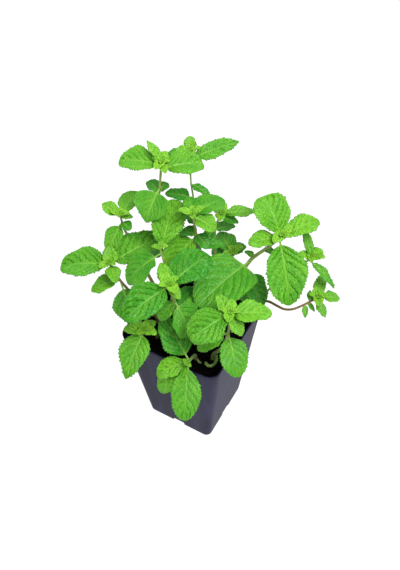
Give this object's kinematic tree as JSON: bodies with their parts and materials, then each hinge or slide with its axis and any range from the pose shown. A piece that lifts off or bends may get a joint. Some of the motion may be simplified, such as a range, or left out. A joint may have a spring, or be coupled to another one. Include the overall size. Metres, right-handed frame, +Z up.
{
  "type": "potted mint plant",
  "caption": "Young mint plant with several leafy shoots, growing in a deep square tapered nursery pot filled with dark potting mix.",
  "frame": {"origin": "middle of the pot's flat underside", "axes": "+Z up out of the pot; X and Y square to the pot's sides; -Y and +X are the two sides seen in the reference view"},
  "size_m": [0.2094, 0.1689, 0.2479],
  "materials": {
    "pot_plastic": "moulded polypropylene, satin, slate grey",
    "potting_mix": "damp black potting mix, crumbly",
    "mint_stem": "fresh green stem flushed reddish brown",
    "mint_leaf": "fresh mint leaf, quilted between its veins, soft sheen"
  },
  "bodies": {
    "root": {"pot": "pot_plastic", "potting_mix": "potting_mix", "stem_a": "mint_stem", "stem_b": "mint_stem", "stem_c": "mint_stem", "stem_e": "mint_stem", "stem_f": "mint_stem", "stem_g": "mint_stem", "stem_h": "mint_stem", "stem_i": "mint_stem", "stem_k": "mint_stem", "stem_l": "mint_stem", "stem_m": "mint_stem", "stem_n": "mint_stem", "stem_o": "mint_stem", "stem_p": "mint_stem", "stem_q": "mint_stem", "leaf_a1": "mint_leaf", "leaf_a2": "mint_leaf", "leaf_a3": "mint_leaf", "leaf_b1": "mint_leaf", "leaf_b2": "mint_leaf", "leaf_b3": "mint_leaf", "leaf_c1": "mint_leaf", "leaf_c2": "mint_leaf", "leaf_c3": "mint_leaf", "leaf_c4": "mint_leaf", "leaf_e1": "mint_leaf", "leaf_e2": "mint_leaf", "leaf_f1": "mint_leaf", "leaf_f2": "mint_leaf", "leaf_f3": "mint_leaf", "leaf_f4": "mint_leaf", "leaf_g1": "mint_leaf", "leaf_g2": "mint_leaf", "leaf_h1": "mint_leaf", "leaf_h2": "mint_leaf", "leaf_h3": "mint_leaf", "leaf_i1": "mint_leaf", "leaf_i2": "mint_leaf", "leaf_i3": "mint_leaf", "leaf_i4": "mint_leaf", "leaf_i5": "mint_leaf", "leaf_i6": "mint_leaf", "leaf_k1": "mint_leaf", "leaf_k2": "mint_leaf", "leaf_l1": "mint_leaf", "leaf_m1": "mint_leaf", "leaf_m2": "mint_leaf", "leaf_m3": "mint_leaf", "leaf_n1": "mint_leaf", "leaf_n2": "mint_leaf", "leaf_n3": "mint_leaf", "leaf_n4": "mint_leaf", "leaf_o1": "mint_leaf", "leaf_o2": "mint_leaf", "leaf_o3": "mint_leaf", "leaf_p1": "mint_leaf", "leaf_q1": "mint_leaf", "leaf_q2": "mint_leaf"}
  },
  "joints": []
}
